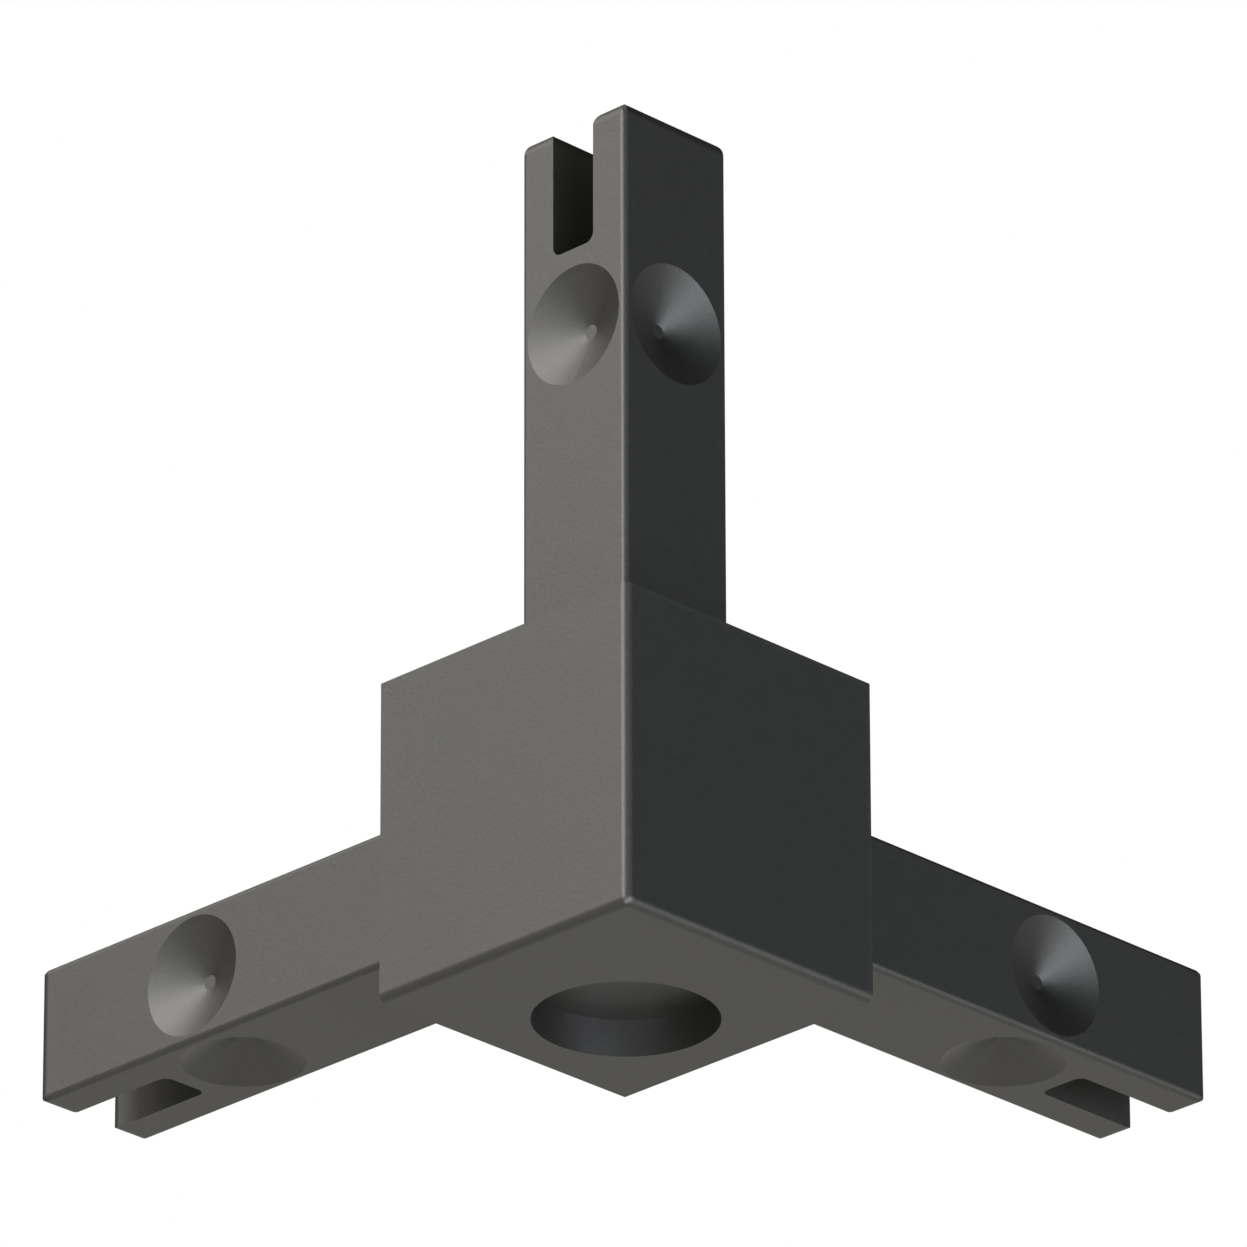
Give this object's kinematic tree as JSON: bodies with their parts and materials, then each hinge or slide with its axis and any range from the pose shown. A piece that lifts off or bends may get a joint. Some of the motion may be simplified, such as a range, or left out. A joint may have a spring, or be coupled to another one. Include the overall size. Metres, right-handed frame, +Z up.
{
  "type": "frame connector",
  "caption": "Corner connector: cube hub with square arms at right angles that end in slotted forks, conical screw dimples near each tip, and a round foot recess in the base.",
  "frame": {"origin": "centre of the mouth of the foot recess, on the base plane of the hub", "axes": "+Z up along the recess axis and the upright arm, +X and +Y along the two level arms"},
  "size_m": [0.0551, 0.0551, 0.055],
  "materials": {
    "coated_metal": "satin dark grey coating with a fine grain"
  },
  "bodies": {
    "root": {"corner_connector": "coated_metal"}
  },
  "joints": []
}
